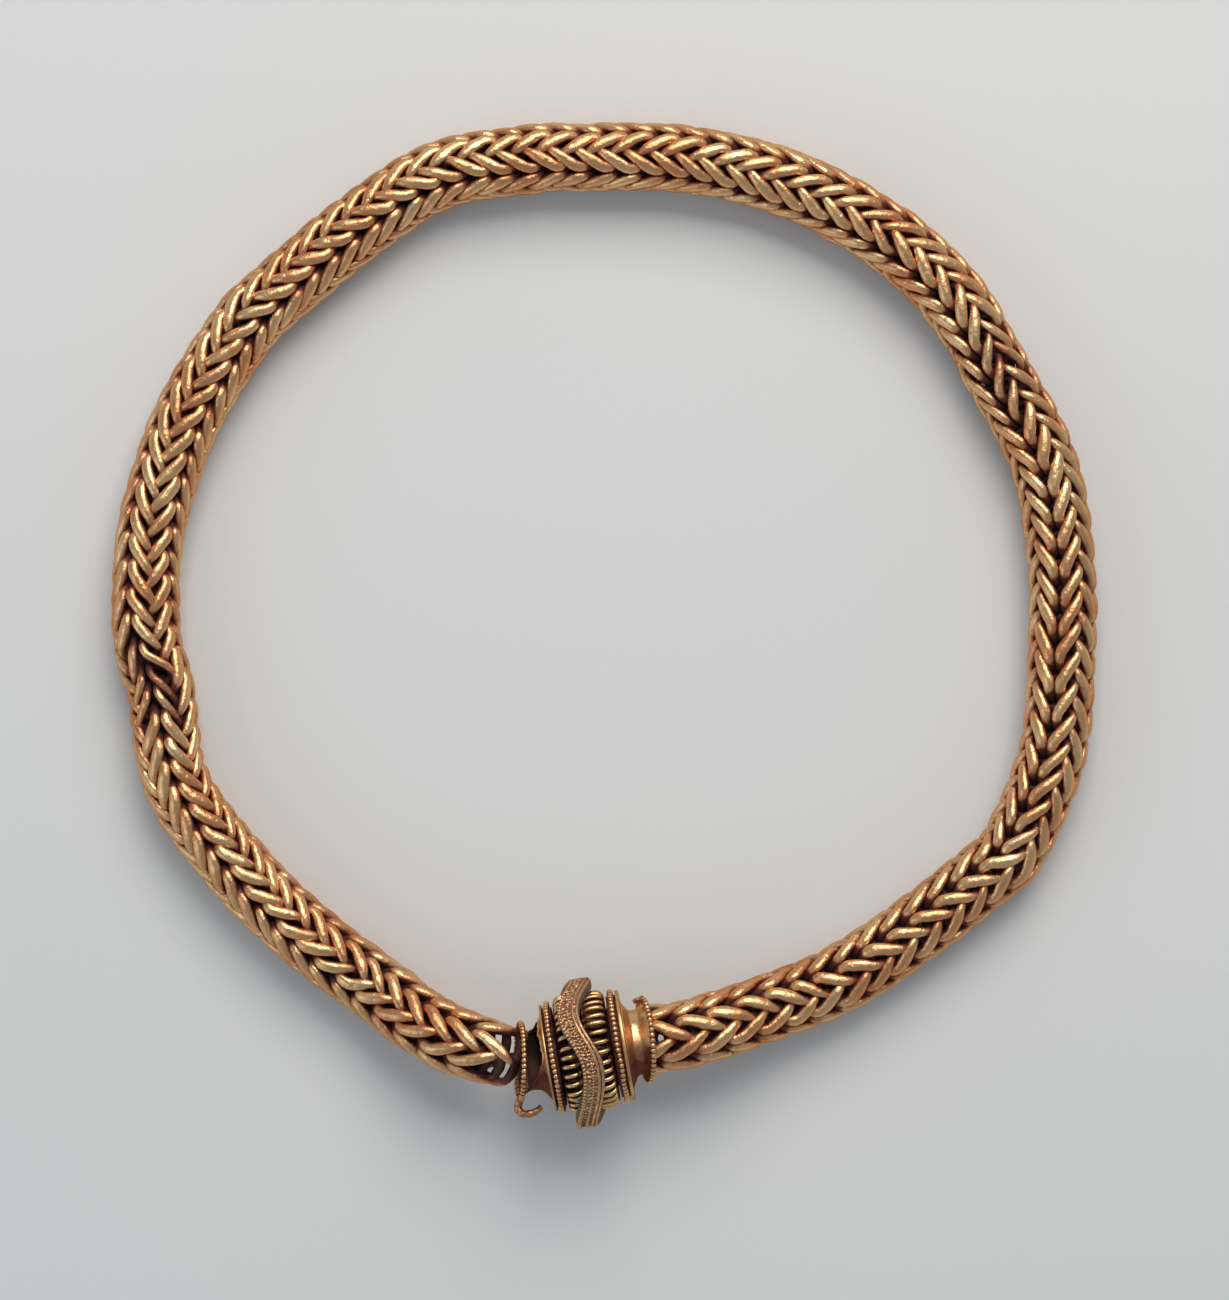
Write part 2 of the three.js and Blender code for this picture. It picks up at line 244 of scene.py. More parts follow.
# %% Table and lamps
def paper():
    """Matt paper over a table: it gives no gloss, only soft shadows and a warm glow near the gold."""
    material = bpy.data.materials.new("matt_paper")
    material.use_nodes = True
    tree = material.node_tree
    surface = tree.nodes["Principled BSDF"]
    place = put(tree, "ShaderNodeTexCoord").outputs["Object"]
    cloud = put(tree, "ShaderNodeTexNoise", {"Vector": place, "Scale": 6.0, "Detail": 2.0})
    tint = put(
        tree,
        "ShaderNodeMix",
        {"Factor": cloud.outputs["Fac"], "A": linear("#E2E2E2"), "B": linear("#E8E6E6")},
        data_type="RGBA",
    )
    tree.links.new(tint.outputs["Result"], surface.inputs["Base Color"])
    surface.inputs["Roughness"].default_value = 0.9
    surface.inputs["Specular IOR Level"].default_value = 0.2
    return material


TABLE_SIZE = 3000.0
table_points = np.array([[-1, -1, 0], [1, -1, 0], [1, 1, 0], [-1, 1, 0]]) * TABLE_SIZE / 2
table = add_mesh("table", table_points, [[0, 1, 2, 3]])
table.data.materials.append(paper())


def lamp(name, size, power, colour, place):
    data = bpy.data.lights.new(name, "AREA")
    data.size = size
    data.energy = power
    data.color = linear(colour)[:3]
    lit = bpy.data.objects.new(name, data)
    lit.location = place
    direction = -lit.location.normalized()
    lit.rotation_euler = direction.to_track_quat("-Z", "Y").to_euler()
    bpy.context.collection.objects.link(lit)


lamp("key_lamp", 0.62, 6.0, "#FFF9F0", (0.13, 0.6, 0.68))
lamp("fill_lamp", 0.6, 1.2, "#D9E8F6", (-0.75, -0.3, 0.5))

world = bpy.data.worlds.new("room")
world.use_nodes = True
room = world.node_tree
towards = put(room, "ShaderNodeTexCoord").outputs["Generated"]
upwards = put(room, "ShaderNodeSeparateXYZ", {"Vector": towards}).outputs["Z"]
bright = put(
    room,
    "ShaderNodeMapRange",
    {"Value": upwards, "From Min": 0.1, "From Max": 0.95, "To Min": 0.46, "To Max": 0.36},
)
room.nodes["Background"].inputs["Color"].default_value = linear("#DCE8F0")
room.links.new(bright.outputs["Result"], room.nodes["Background"].inputs["Strength"])
bpy.context.scene.world = world
bpy.context.scene.view_settings.view_transform = "Standard"


# %% [markdown]
# ## Gold
#
# This gold is high in carat, so it is a deep warm yellow. The smith's polish has worn to a satin, soft dents
# and fine scratches cover it, and the flanks of the wires are painted red-brown, partly as tarnish and partly
# as painted shade, and the hollows darker still, as soil and painted shade. A metal has no colour of its own
# under
# its shine: the base colour tints every reflection, so one deep colour gives both the pale lights and, where
# wires mirror each other, the orange and red between them. The meshes carry an attribute of soil and painted
# shade, from 0 on a crest to 1 deep down. Two ranges of it are mapped to mixing factors: the first lays the
# red-brown of tarnish and painted shade over the bare gold, and the second lays the dark of soil and painted
# shade over both.

# %% The gold finishes
def gold(name, bright, red, tarnish_and_shade, soil_and_shade, roughness, grain, dent):
    """Worn gold. grain is the size of its dents in millimetres, and dent is their depth in millimetres."""
    material = bpy.data.materials.new(name)
    material.use_nodes = True
    tree = material.node_tree
    surface = tree.nodes["Principled BSDF"]
    surface.inputs["Specular Tint"].default_value = linear(EDGE_TINT)
    place = put(tree, "ShaderNodeTexCoord").outputs["Object"]

    patches = put(tree, "ShaderNodeTexNoise", {"Vector": place, "Scale": 1 / (9 * MM), "Detail": 3.0})
    fine = put(tree, "ShaderNodeTexNoise", {"Vector": place, "Scale": 1 / (grain * MM), "Detail": 4.0})
    specks = put(tree, "ShaderNodeTexNoise", {"Vector": place, "Scale": 1 / (0.35 * MM), "Detail": 2.0})

    shade = put(
        tree,
        "ShaderNodeMapRange",
        {"Value": patches.outputs["Fac"], "From Min": 0.35, "From Max": 0.65},
    )
    alloy = put(
        tree,
        "ShaderNodeMix",
        {"Factor": shade.outputs["Result"], "A": linear(bright), "B": linear(red)},
        data_type="RGBA",
    )

    # Painted shade: the deeper a point lies, the more it takes the tarnish colour and then the soil colour.
    # Flanks and hollows are painted dark where shade falls, as well as where tarnish and soil lie.
    depth = put(tree, "ShaderNodeAttribute", attribute_name="soil_and_shade").outputs["Fac"]
    uneven = put(
        tree,
        "ShaderNodeMath",
        {0: fine.outputs["Fac"], 1: 0.7, 2: -0.35},
        operation="MULTIPLY_ADD",
    )
    darkening_level = put(tree, "ShaderNodeMath", {0: depth, 1: uneven.outputs[0]}, operation="ADD")
    tarnish_and_shade_factor = put(
        tree,
        "ShaderNodeMapRange",
        {"Value": darkening_level.outputs[0], "From Min": 0.1, "From Max": 0.45},
    )
    soil_and_shade_factor = put(
        tree,
        "ShaderNodeMapRange",
        {"Value": darkening_level.outputs[0], "From Min": 0.5, "From Max": 0.95},
    )
    worn = put(
        tree,
        "ShaderNodeMix",
        {"Factor": tarnish_and_shade_factor.outputs["Result"], "A": alloy.outputs["Result"], "B": linear(tarnish_and_shade)},
        data_type="RGBA",
    )
    colour = put(
        tree,
        "ShaderNodeMix",
        {"Factor": soil_and_shade_factor.outputs["Result"], "A": worn.outputs["Result"], "B": linear(soil_and_shade)},
        data_type="RGBA",
    )
    tree.links.new(colour.outputs["Result"], surface.inputs["Base Color"])

    metal = put(
        tree,
        "ShaderNodeMapRange",
        {"Value": soil_and_shade_factor.outputs["Result"], "To Min": 1.0, "To Max": 0.35},
    )
    tree.links.new(metal.outputs["Result"], surface.inputs["Metallic"])

    satin = put(
        tree,
        "ShaderNodeMapRange",
        {"Value": fine.outputs["Fac"], "From Min": 0.3, "From Max": 0.7,
         "To Min": roughness - 0.07, "To Max": roughness + 0.09},
    )
    dull = put(
        tree,
        "ShaderNodeMath",
        {0: tarnish_and_shade_factor.outputs["Result"], 1: 0.22, 2: satin.outputs["Result"]},
        operation="MULTIPLY_ADD",
        use_clamp=True,
    )
    tree.links.new(dull.outputs[0], surface.inputs["Roughness"])

    dents = put(
        tree,
        "ShaderNodeBump",
        {"Height": fine.outputs["Fac"], "Distance": dent * MM, "Strength": 0.8},
    )
    pits = put(
        tree,
        "ShaderNodeBump",
        {"Height": specks.outputs["Fac"], "Distance": 0.04 * MM, "Strength": 0.6,
         "Normal": dents.outputs["Normal"]},
    )
    tree.links.new(pits.outputs["Normal"], surface.inputs["Normal"])
    return material


EDGE_TINT = "#E2B690"  # what gold's edge-on shine is tinted with here, because dirt films every edge
# Red-brown for tarnish and painted shade on the wires' flanks, and darker brown for soil and painted shade in
# the hollows.
TARNISH_AND_SHADE = "#8C5042"
SOIL_AND_SHADE = "#5E4240"
chain_gold = gold("hammered_gold_wire", "#F4C894", "#E2A070", TARNISH_AND_SHADE, SOIL_AND_SHADE, 0.34, 1.3, 0.3)
sheet_gold = gold("beaten_gold_sheet", "#EDC48E", "#DDA878", TARNISH_AND_SHADE, SOIL_AND_SHADE, 0.34, 2.2, 0.15)
# Painted shadow: a near-black colour for the sleeve under the coils, where there is only shade.
PAINTED_SHADOW_UNDER_COILS = "#1E191A"
sleeve_gold = gold("gold_sheet_painted_shadow", "#E4BC84", "#D2A070", TARNISH_AND_SHADE, PAINTED_SHADOW_UNDER_COILS, 0.4, 2.2, 0.15)
bead_gold = gold("beaded_gold_wire", "#F0C890", "#E2AF80", TARNISH_AND_SHADE, SOIL_AND_SHADE, 0.3, 0.8, 0.06)
coil_gold = gold("drawn_gold_wire", "#ECC48A", "#DCA878", TARNISH_AND_SHADE, SOIL_AND_SHADE, 0.3, 0.9, 0.06)
band_gold = gold("filigree_gold", "#E4BC8C", "#D4A57C", "#8E6550", "#6A6656", 0.36, 0.7, 0.12)


# %% [markdown]
# ## The chain's course
#
# A smooth curve runs through a short list of places: the angle round the neck opening, the distance from its
# middle, and how far the chain has twisted. It is the same list and the same kind of curve as in the
# construction model, so the links land inside its solid. The curve is sampled finely once, and every later
# step only looks places up along it.

# %% The course, in millimetres and degrees
COURSE = np.array([
    [-84.2, 68.5, 53], [-79, 68.7, 53], [-70, 68.7, 54], [-58, 70.5, 62], [-46, 72.1, 64],
    [-34, 75.5, 66], [-28, 77.6, 69], [-16, 77.7, 74], [-4, 76.4, 78], [8, 76.9, 84],
    [20, 78.1, 78], [32, 77.8, 66], [44, 79.7, 68], [56, 79.9, 56], [68, 79.5, 41],
    [80, 78.6, 50], [92, 77.8, 56], [98, 78.3, 59], [110, 79.5, 69], [122, 77.6, 74],
    [134, 77.1, 71], [140, 77.6, 68], [150, 77.2, 62], [158, 77.0, 58], [170, 76.7, 43],
    [182, 75.8, 27], [188, 74.3, 12], [200, 75.5, 3], [212, 73.2, 15], [224, 71.5, 30],
    [236, 70.9, 43], [248, 72.5, 48], [259.3, 73.0, 49],
])
LINK_PITCH = np.array([
    [0, 4.85], [102, 4.85], [125, 4.6], [210, 4.2], [285, 4.3],
    [358, 4.3], [372, 4.05], [412, 4.05], [420, 4.6],
])
CHAIN_RADIUS = 5.75
CHAIN_REST = 5.55
RISE_START = 3.0
RISE_LENGTH = 28.0
LEFT_END_WIDTH = 0.92
DRAWN_IN_LENGTH = 14.0
COLLAR_SQUEEZE = 0.18  # inside the collars the links are drawn in by this part of their width
RUN_ON = 6.0  # the course goes on straight past both ends for this far, for the links inside the collars


def smooth_curve(knots, steps):
    """The same uniform curve through knots as the construction model uses."""
    run = np.vstack([2 * knots[0] - knots[1], knots, 2 * knots[-1] - knots[-2]])
    t = np.linspace(0, 1, steps, endpoint=False)[:, None]
    stretches = []
    for a, b, c, d in zip(run, run[1:], run[2:], run[3:]):
        stretches.append(
            0.5 * (2 * b + (c - a) * t + (2 * a - 5 * b + 4 * c - d) * t**2 + (3 * b - a - 3 * c + d) * t**3)
        )
    return np.vstack([*stretches, knots[-1]])


around = np.radians(COURSE[:, 0])
knots = np.stack([COURSE[:, 1] * np.cos(around), COURSE[:, 1] * np.sin(around), COURSE[:, 2]], axis=1)
curve = smooth_curve(knots, 100)
travelled = np.concatenate([[0], np.cumsum(np.linalg.norm(np.diff(curve[:, :2], axis=0), axis=1))])
CHAIN_LENGTH = travelled[-1]

station = np.arange(-RUN_ON, CHAIN_LENGTH + RUN_ON, 0.25)
middle_line = np.stack([np.interp(station, travelled, curve[:, i]) for i in (0, 1)], axis=1)
for end, edge in ((0, 0.0), (-1, CHAIN_LENGTH)):
    heading = (curve[-1] - curve[-9] if end else curve[8] - curve[0])[:2]
    past = station > edge if end else station < edge
    middle_line[past] = curve[end, :2] + (station[past] - edge)[:, None] * heading / np.linalg.norm(heading)
from_end = np.minimum(station, CHAIN_LENGTH - station)
height = clasp_middle[2] + (CHAIN_REST - clasp_middle[2]) * smooth_step(
    from_end, RISE_START, RISE_START + RISE_LENGTH
)
middle_line = np.column_stack([middle_line + plan_shift, height])
forward_line = unit(np.gradient(middle_line, axis=0))
up_line = unit(np.array([0.0, 0.0, 1.0]) - forward_line[:, 2:] * forward_line)
outside_line = np.cross(forward_line, up_line)
twist_line = np.radians(np.interp(station, travelled, curve[:, 2]))
width_line = LEFT_END_WIDTH + (1 - LEFT_END_WIDTH) * smooth_step(
    CHAIN_LENGTH - station, 0, DRAWN_IN_LENGTH
)
inside_collar = smooth_step(np.maximum(-station, station - CHAIN_LENGTH), -0.8, 1.6)
width_line = width_line * (1 - COLLAR_SQUEEZE * inside_collar)


def look_up(line, along):
    if line.ndim == 1:
        return np.interp(along, station, line)
    return np.stack([np.interp(along, station, line[:, i]) for i in range(3)], axis=-1)


def in_the_chain(along, outwards, sideways, rib):
    """Places in the model from the chain's own measures: rib is the direction of a rib, added to the twist."""
    turn = look_up(twist_line, along) + rib
    scale = look_up(width_line, along)
    up = look_up(up_line, along)
    outside = look_up(outside_line, along)
    away = up * np.cos(turn)[..., None] + outside * np.sin(turn)[..., None]
    across = up * -np.sin(turn)[..., None] + outside * np.cos(turn)[..., None]
    offset = away * (outwards * scale)[..., None] + across * (sideways * scale)[..., None]
    return look_up(middle_line, along) + offset


print("chain length in mm:", round(CHAIN_LENGTH, 1))

# %% [markdown]
# ## One link
#
# A loop-in-loop chain is made from closed rings of wire. Each ring is squeezed into a long loop, passed
# through the eyes of the ones before it and bent up, so that it crosses the chain's core and shows as an eye
# on two opposite ribs. The next ring is passed through at a right angle, half a link further on. One quarter
# of a ring gives the whole of it by mirroring: outwards from the chain's middle, sideways, and along.

# %% The wire's path in one link
WIRE_RADIUS = 0.97
LINK_TURN = math.radians(-7)  # the rows of eyes stand this far round from the middles of the ribs
QUARTER = np.array([  # outwards, sideways, along, and the wire's thickness there
    [0.0, 0.95, -2.0, 1.0],
    [2.0, 0.95, -1.6, 1.0],
    [3.35, 0.92, -0.8, 1.0],
    [4.4, 0.86, 0.2, 0.98],
    [4.76, 1.12, 1.3, 1.04],
    [4.52, 1.75, 2.5, 1.09],
    [4.2, 2.33, 3.6, 1.08],
    [3.8, 2.85, 4.6, 0.98],
    [3.3, 3.18, 5.6, 0.78],
    [2.5, 2.75, 6.4, 0.78],
    [2.0, 1.5, 6.8, 0.9],
    [1.9, 0.0, 6.9, 0.9],
])
LINK_STEPS = 84
LINK_SIDES = 12


def even_loop(points, steps):
    """A smooth closed curve through rows of numbers, the first three of them places, evenly stepped."""
    fine = []
    t = np.linspace(0, 1, 24, endpoint=False)[:, None]
    for i in range(len(points)):
        a, b, c, d = (points[(i + k) % len(points)] for k in (-1, 0, 1, 2))
        fine.append(
            0.5 * (2 * b + (c - a) * t + (2 * a - 5 * b + 4 * c - d) * t**2 + (3 * b - a - 3 * c + d) * t**3)
        )
    fine = np.vstack(fine)
    closed = np.vstack([fine, fine[:1]])
    run = np.concatenate([[0], np.cumsum(np.linalg.norm(np.diff(closed[:, :3], axis=0), axis=1))])
    at = np.linspace(0, run[-1], steps, endpoint=False)
    return np.stack([np.interp(at, run, column) for column in closed.T], axis=1), run[-1]


first_eye = np.vstack([QUARTER, (QUARTER * [1, -1, 1, 1])[-2:0:-1]])
second_eye = np.vstack([QUARTER * [-1, -1, 1, 1], (QUARTER * [-1, 1, 1, 1])[-2:0:-1]])
link_path, wire_length = even_loop(np.vstack([first_eye, second_eye]), LINK_STEPS)
print("wire in one link, mm:", round(wire_length, 1))


# %% [markdown]
# ## Every link
#
# All links start as the same tube, and each one is then altered a little: a wire drawn by hand is thicker
# here and thinner there, an eye leans, a loop is pulled out longer than its neighbour. The random numbers are
# seeded, so the torc is the same each time. Links stand half a pitch apart, and every other one belongs to
# the other pair of ribs.

# %% Where the links stand
links_seed = np.random.default_rng(21)
FIRST_LINK = -1.6
LAST_LINK = CHAIN_LENGTH - 5.6
starts = []
along = FIRST_LINK
while along < LAST_LINK:
    starts.append(along)
    along += np.interp(along, LINK_PITCH[:, 0], LINK_PITCH[:, 1]) / 2
starts = np.array(starts)
link_count = len(starts)
other_pair = np.arange(link_count) % 2
print("links:", link_count)

slip = links_seed.normal(0, 0.1, link_count)  # each along the chain, in millimetres
lean = links_seed.normal(0, 0.14, (link_count, 2))  # each eye sideways
pull = links_seed.normal(1, 0.03, (link_count, 2))  # each eye's length
lift = links_seed.normal(0, 0.07, (link_count, 2))  # each eye outwards
thickness = links_seed.normal(1, 0.03, link_count)
STRAINED = [  # distance from the right collar, and how badly the links there are harmed, up to 1
    (146.5, 0.6), (150.5, 1.0), (154.5, 1.0), (158.0, 0.8), (183.4, 0.5),
    (359.3, 0.9), (364.1, 1.0), (368.3, 0.9),
]
STRAIN_REACH = 1.3
STRAIN_THINS = 0.3
STRAIN_LEANS = 0.55
STRAIN_SLIPS = 0.45
STRAIN_SINKS = 0.5
LINK_MIDDLE = 2.4  # from where a link starts to the middle of its eye
for place, harm in STRAINED:  # the wires are thinner here and out of their places
    near = harm * np.exp(-(((starts + LINK_MIDDLE - place) / STRAIN_REACH) ** 2))
    thickness = thickness * (1 - STRAIN_THINS * near)
    lean = lean + (near * links_seed.choice([-STRAIN_LEANS, STRAIN_LEANS], link_count))[:, None]
    slip = slip + near * links_seed.choice([-STRAIN_SLIPS, STRAIN_SLIPS], link_count)
    lift = lift - STRAIN_SINKS * near[:, None] * links_seed.uniform(0, 1, (link_count, 2))
RIPPLES = [(2, 0), (3, 1), (5, -1), (7, 2), (11, 1), (13, -2), (17, 3), (23, -1)]  # along and around the wire
RIPPLE_DEPTH = 0.022
phases = links_seed.uniform(0, 2 * np.pi, (link_count, len(RIPPLES)))
FLAT_FROM = 5.5  # past this distance from the chain's middle, wear has flattened the wires
FLATTENED = 0.55


# %% The links as tubes
def link_points(k):
    """The wire of link k: its points, and how deep in the chain each one lies, from 0 at the crest to 1."""
    step = np.arange(LINK_STEPS)[:, None] * 2 * np.pi / LINK_STEPS
    turn = np.arange(LINK_SIDES)[None, :] * 2 * np.pi / LINK_SIDES
    ripple = sum(np.sin(n * step + m * turn + phase) for (n, m), phase in zip(RIPPLES, phases[k]))
    radius = WIRE_RADIUS * thickness[k] * link_path[:, 3:] * (1 + RIPPLE_DEPTH * ripple)
    points, _ = tube(link_path[:, :3], radius, LINK_SIDES)
    outwards, sideways, onwards = points.T
    eye = (outwards < 0).astype(int)
    reach = smooth_step(np.abs(outwards), 1.5, 4.0)
    onwards = onwards * pull[k][eye]
    sideways = sideways + lean[k][eye] * reach * np.where(eye, -1, 1)
    outwards = outwards * (1 + lift[k][eye] * reach / CHAIN_RADIUS)
    distance = np.hypot(outwards, sideways)
    worn = np.minimum(distance, FLAT_FROM + (distance - FLAT_FROM) * FLATTENED)
    place = in_the_chain(
        starts[k] + slip[k] + onwards,
        outwards * worn / distance,
        sideways * worn / distance,
        other_pair[k] * math.pi / 2 + LINK_TURN,
    )
    place[:, 2] = np.maximum(place[:, 2], 0.0)
    return place, 1 - worn / CHAIN_RADIUS


def strips(count, steps, sides, columns):
    """A texture map for wires as parallel strips, one to a wire, in a given number of columns."""
    rows = math.ceil(count / columns)
    margin = 0.08
    u, v = np.meshgrid(np.arange(steps), np.arange(sides), indexing="ij")
    corners_u = np.stack([u, u, u + 1, u + 1], axis=-1) / steps
    corners_v = np.stack([v, v + 1, v + 1, v], axis=-1) / sides
    one = np.stack([corners_u, corners_v], axis=-1).reshape(-1, 2)
    one = one * [1 - margin / 4, 1 - margin] + [margin / 8, margin / 2]
    return np.concatenate([(one + [k % columns, k // columns]) / [columns, rows] for k in range(count)])


STRETCHES = ["right_front", "right_back", "left_back", "left_front"]
link_faces = grid_faces(LINK_STEPS, LINK_SIDES)
for part, stretch in enumerate(STRETCHES):
    chosen = np.array_split(np.arange(link_count), len(STRETCHES))[part]
    made = [link_points(k) for k in chosen]
    points, faces = join([(place, link_faces) for place, _ in made])
    depth = np.concatenate([deep for _, deep in made])
    # Painted shade: the deeper a point lies in the chain, the darker and redder its colour.
    soil_and_shade = smooth_step(depth, 0.0, 0.36)
    piece = add_mesh(
        f"chain_links_{stretch}", points, faces, [("soil_and_shade", soil_and_shade)],
        strips(len(chosen), LINK_STEPS, LINK_SIDES, 2),
    )
    seat(piece, "gold_wire", chain_gold, "gold_chain")
    print(piece.name, "links:", len(chosen), "triangles:", 2 * len(faces))


# %% [markdown]
# ## The clasp
#
# The clasp is a short sleeve with a flange at each end. Two coils of wire lie round it, each wound like a
# spring that is bent into a ring, a beaded wire follows each flange, and a band of filigree winds over the
# top. Three numbers give any place on it: along its axis, out from the axis, and the angle round it, from the
# top towards the neck.

# %% Places on the clasp
ARC_MIDDLE = 0.29  # how near a corner's round comes to the corner itself, as part of the two cuts
CLASP_AXES = np.stack([CLASP_FORWARD, CLASP_NECKWARD, [0.0, 0.0, 1.0]])


def on_clasp(along, radius, angle):
    """Places in the model from the clasp's own measures, the angle in degrees."""
    along, radius, turn = np.broadcast_arrays(along, radius, np.radians(angle))
    return clasp_middle + np.stack([along, radius * np.sin(turn), radius * np.cos(turn)], axis=-1) @ CLASP_AXES


def wobble(value, rng, waves, most):
    """A gentle seeded unevenness along a value in degrees that meets itself after a whole turn."""
    counts = rng.integers(2, waves, 7)
    starts_at = rng.uniform(0, 2 * np.pi, 7)
    return most * sum(np.sin(np.radians(value) * n + s) for n, s in zip(counts, starts_at)) / 3


def soften(corners, radius):
    """Cuts each corner of a closed outline into a small round of three points."""
    corners = np.asarray(corners, float)
    before = unit(np.roll(corners, 1, axis=0) - corners) * radius
    after = unit(np.roll(corners, -1, axis=0) - corners) * radius
    middle = corners + (before + after) * ARC_MIDDLE
    return np.stack([corners + before, middle, corners + after], axis=1).reshape(-1, 2)


def even_path(path, steps, meets):
    """A path walked in equal steps, and its length."""
    closed = np.vstack([path, path[:1]]) if meets else path
    run = np.concatenate([[0], np.cumsum(np.linalg.norm(np.diff(closed, axis=0), axis=1))])
    at = np.linspace(0, run[-1], steps, endpoint=not meets)
    return np.stack([np.interp(at, run, column) for column in closed.T], axis=1), run[-1]


# %% The sleeve
LEFT_LIP = (-6.1, -5.75, 8.9)  # from, to and radius
RIGHT_LIP = (6.55, 7.1, 9.2)
SLEEVE_BORE = 5.0
SLEEVE_RADIUS = 6.4
BORDER_LEFT_RADIUS = 8.75
BORDER_RIGHT_RADIUS = 8.95
BEAD = 0.5
GAP = 0.3
WEB = 0.5
COIL_TOP = 9.9
LATHE_STEPS = 144
LEDGE_PLAY = 0.1  # between a beaded wire and the ledge under it
WEB_SUNK = 0.6  # the ridge between the coils stands this far below their tops
EDGE_ROUND = 0.11

under_left = BORDER_LEFT_RADIUS - BEAD - LEDGE_PLAY
under_right = BORDER_RIGHT_RADIUS - BEAD - LEDGE_PLAY
coil_left = (BORDER_LEFT + BEAD + 2 * GAP, -WEB / 2 - GAP)
coil_right = (WEB / 2 + GAP, BORDER_RIGHT - BEAD - 2 * GAP)
sleeve_outline = soften([
    [LEFT_LIP[0], SLEEVE_BORE], [LEFT_LIP[0], LEFT_LIP[2]], [LEFT_LIP[1], LEFT_LIP[2]],
    [LEFT_LIP[1], under_left], [coil_left[0] - GAP, under_left], [coil_left[0] - GAP, SLEEVE_RADIUS],
    [-WEB / 2, SLEEVE_RADIUS], [-WEB / 2, COIL_TOP - WEB_SUNK], [WEB / 2, COIL_TOP - WEB_SUNK],
    [WEB / 2, SLEEVE_RADIUS],
    [coil_right[1] + GAP, SLEEVE_RADIUS], [coil_right[1] + GAP, under_right], [RIGHT_LIP[0], under_right],
    [RIGHT_LIP[0], RIGHT_LIP[2]], [RIGHT_LIP[1], RIGHT_LIP[2]], [RIGHT_LIP[1], SLEEVE_BORE],
], EDGE_ROUND)
clasp_seed = np.random.default_rng(5)
lathe_angle = np.arange(LATHE_STEPS)[:, None] * 360 / LATHE_STEPS
edge_part = smooth_step(sleeve_outline[:, 1], 8.2, 9.0)
sleeve_radius = sleeve_outline[:, 1] - edge_part * (0.06 + wobble(lathe_angle, clasp_seed, 15, 0.06))
sleeve_points = on_clasp(sleeve_outline[:, 0], sleeve_radius, lathe_angle)
# Painted shadow: the sleeve is painted dark under the coils and the beaded wires. Only the rims of its flanges
# and the ridge between the coils stay bright.
sleeve_painted_shadow = np.broadcast_to(1 - 0.9 * smooth_step(sleeve_outline[:, 1], 7.9, 8.8), sleeve_radius.shape)
sleeve = add_mesh(
    "clasp_sleeve_sheet", sleeve_points.reshape(-1, 3), grid_faces(LATHE_STEPS, len(sleeve_outline)),
    [("soil_and_shade", sleeve_painted_shadow.ravel())],
)
seat(sleeve, "gold_sheet", sleeve_gold, "clasp_sleeve")
print(sleeve.name, "triangles:", 2 * len(sleeve.data.polygons))

# %% [markdown]
# Beaded wire is plain wire rolled under a grooved file, which squeezes it into a row of beads. Here a tube's
# thickness rises and falls along its path, and the grooves are painted darker as painted shade, with some
# dirt that differs from bead to bead.

# %% Beaded wires round the flanges
BEAD_STEPS = 7  # rings of points along one bead
BEAD_SIDES = 12
NECK = 0.42  # how thick the wire still is between two beads


def beaded_wire(path, radius, pitch, rng, meets=True):
    """Points, faces and darkening of a beaded wire: painted shade in its grooves, and dirt."""
    length = even_path(path, 2, meets)[1]
    beads = round(length / pitch)
    path, _ = even_path(path, beads * BEAD_STEPS, meets)
    place = (np.arange(BEAD_STEPS) + 0.5) / BEAD_STEPS * 2 - 1
    one = np.sqrt(1 - (1 - NECK**2) * place**2)
    size = radius * rng.normal(1, 0.035, (beads, 1)).clip(0.9, 1.06)
    dirt = rng.uniform(-0.15, 0.12, (beads, 1))
    points, faces = tube(path, (size * one).ravel(), BEAD_SIDES, meets)
    # Painted shade darkens each groove between beads; the dirt is a random tone for each bead.
    dirt_and_groove_shade = (dirt + 0.75 * smooth_step(np.abs(place), 0.5, 0.95)).clip(0, 1)
    soil_and_shade = np.repeat(dirt_and_groove_shade.ravel(), BEAD_SIDES)
    if not meets:
        soil_and_shade = np.concatenate([soil_and_shade[:BEAD_SIDES], soil_and_shade, soil_and_shade[-BEAD_SIDES:]])
    return points, faces, soil_and_shade


BEAD_PITCH = 0.86
fine_angle = np.arange(0, 360, 2.0)
for name, along, radius in (
    ("left", BORDER_LEFT, BORDER_LEFT_RADIUS),
    ("right", BORDER_RIGHT, BORDER_RIGHT_RADIUS),
):
    bent = wobble(fine_angle, clasp_seed, 12, 0.05)
    path = on_clasp(along + bent, radius + wobble(fine_angle, clasp_seed, 9, 0.04), fine_angle)
    points, faces, soil_and_shade = beaded_wire(path, BEAD, BEAD_PITCH, clasp_seed)
    piece = add_mesh(f"clasp_beads_{name}", points, faces, [("soil_and_shade", soil_and_shade)])
    seat(piece, "gold_beading", bead_gold, f"clasp_border_{name}")
    print(piece.name, "triangles:", 2 * len(faces))

# %% Two coils of wire
COIL_TURNS = 36
COIL_STEPS = 28  # steps in one turn of the wire
COIL_WIRE = 0.37
LAG = 0.07  # the wire moves on more under the coil than on top, so the bars on top are nearly straight


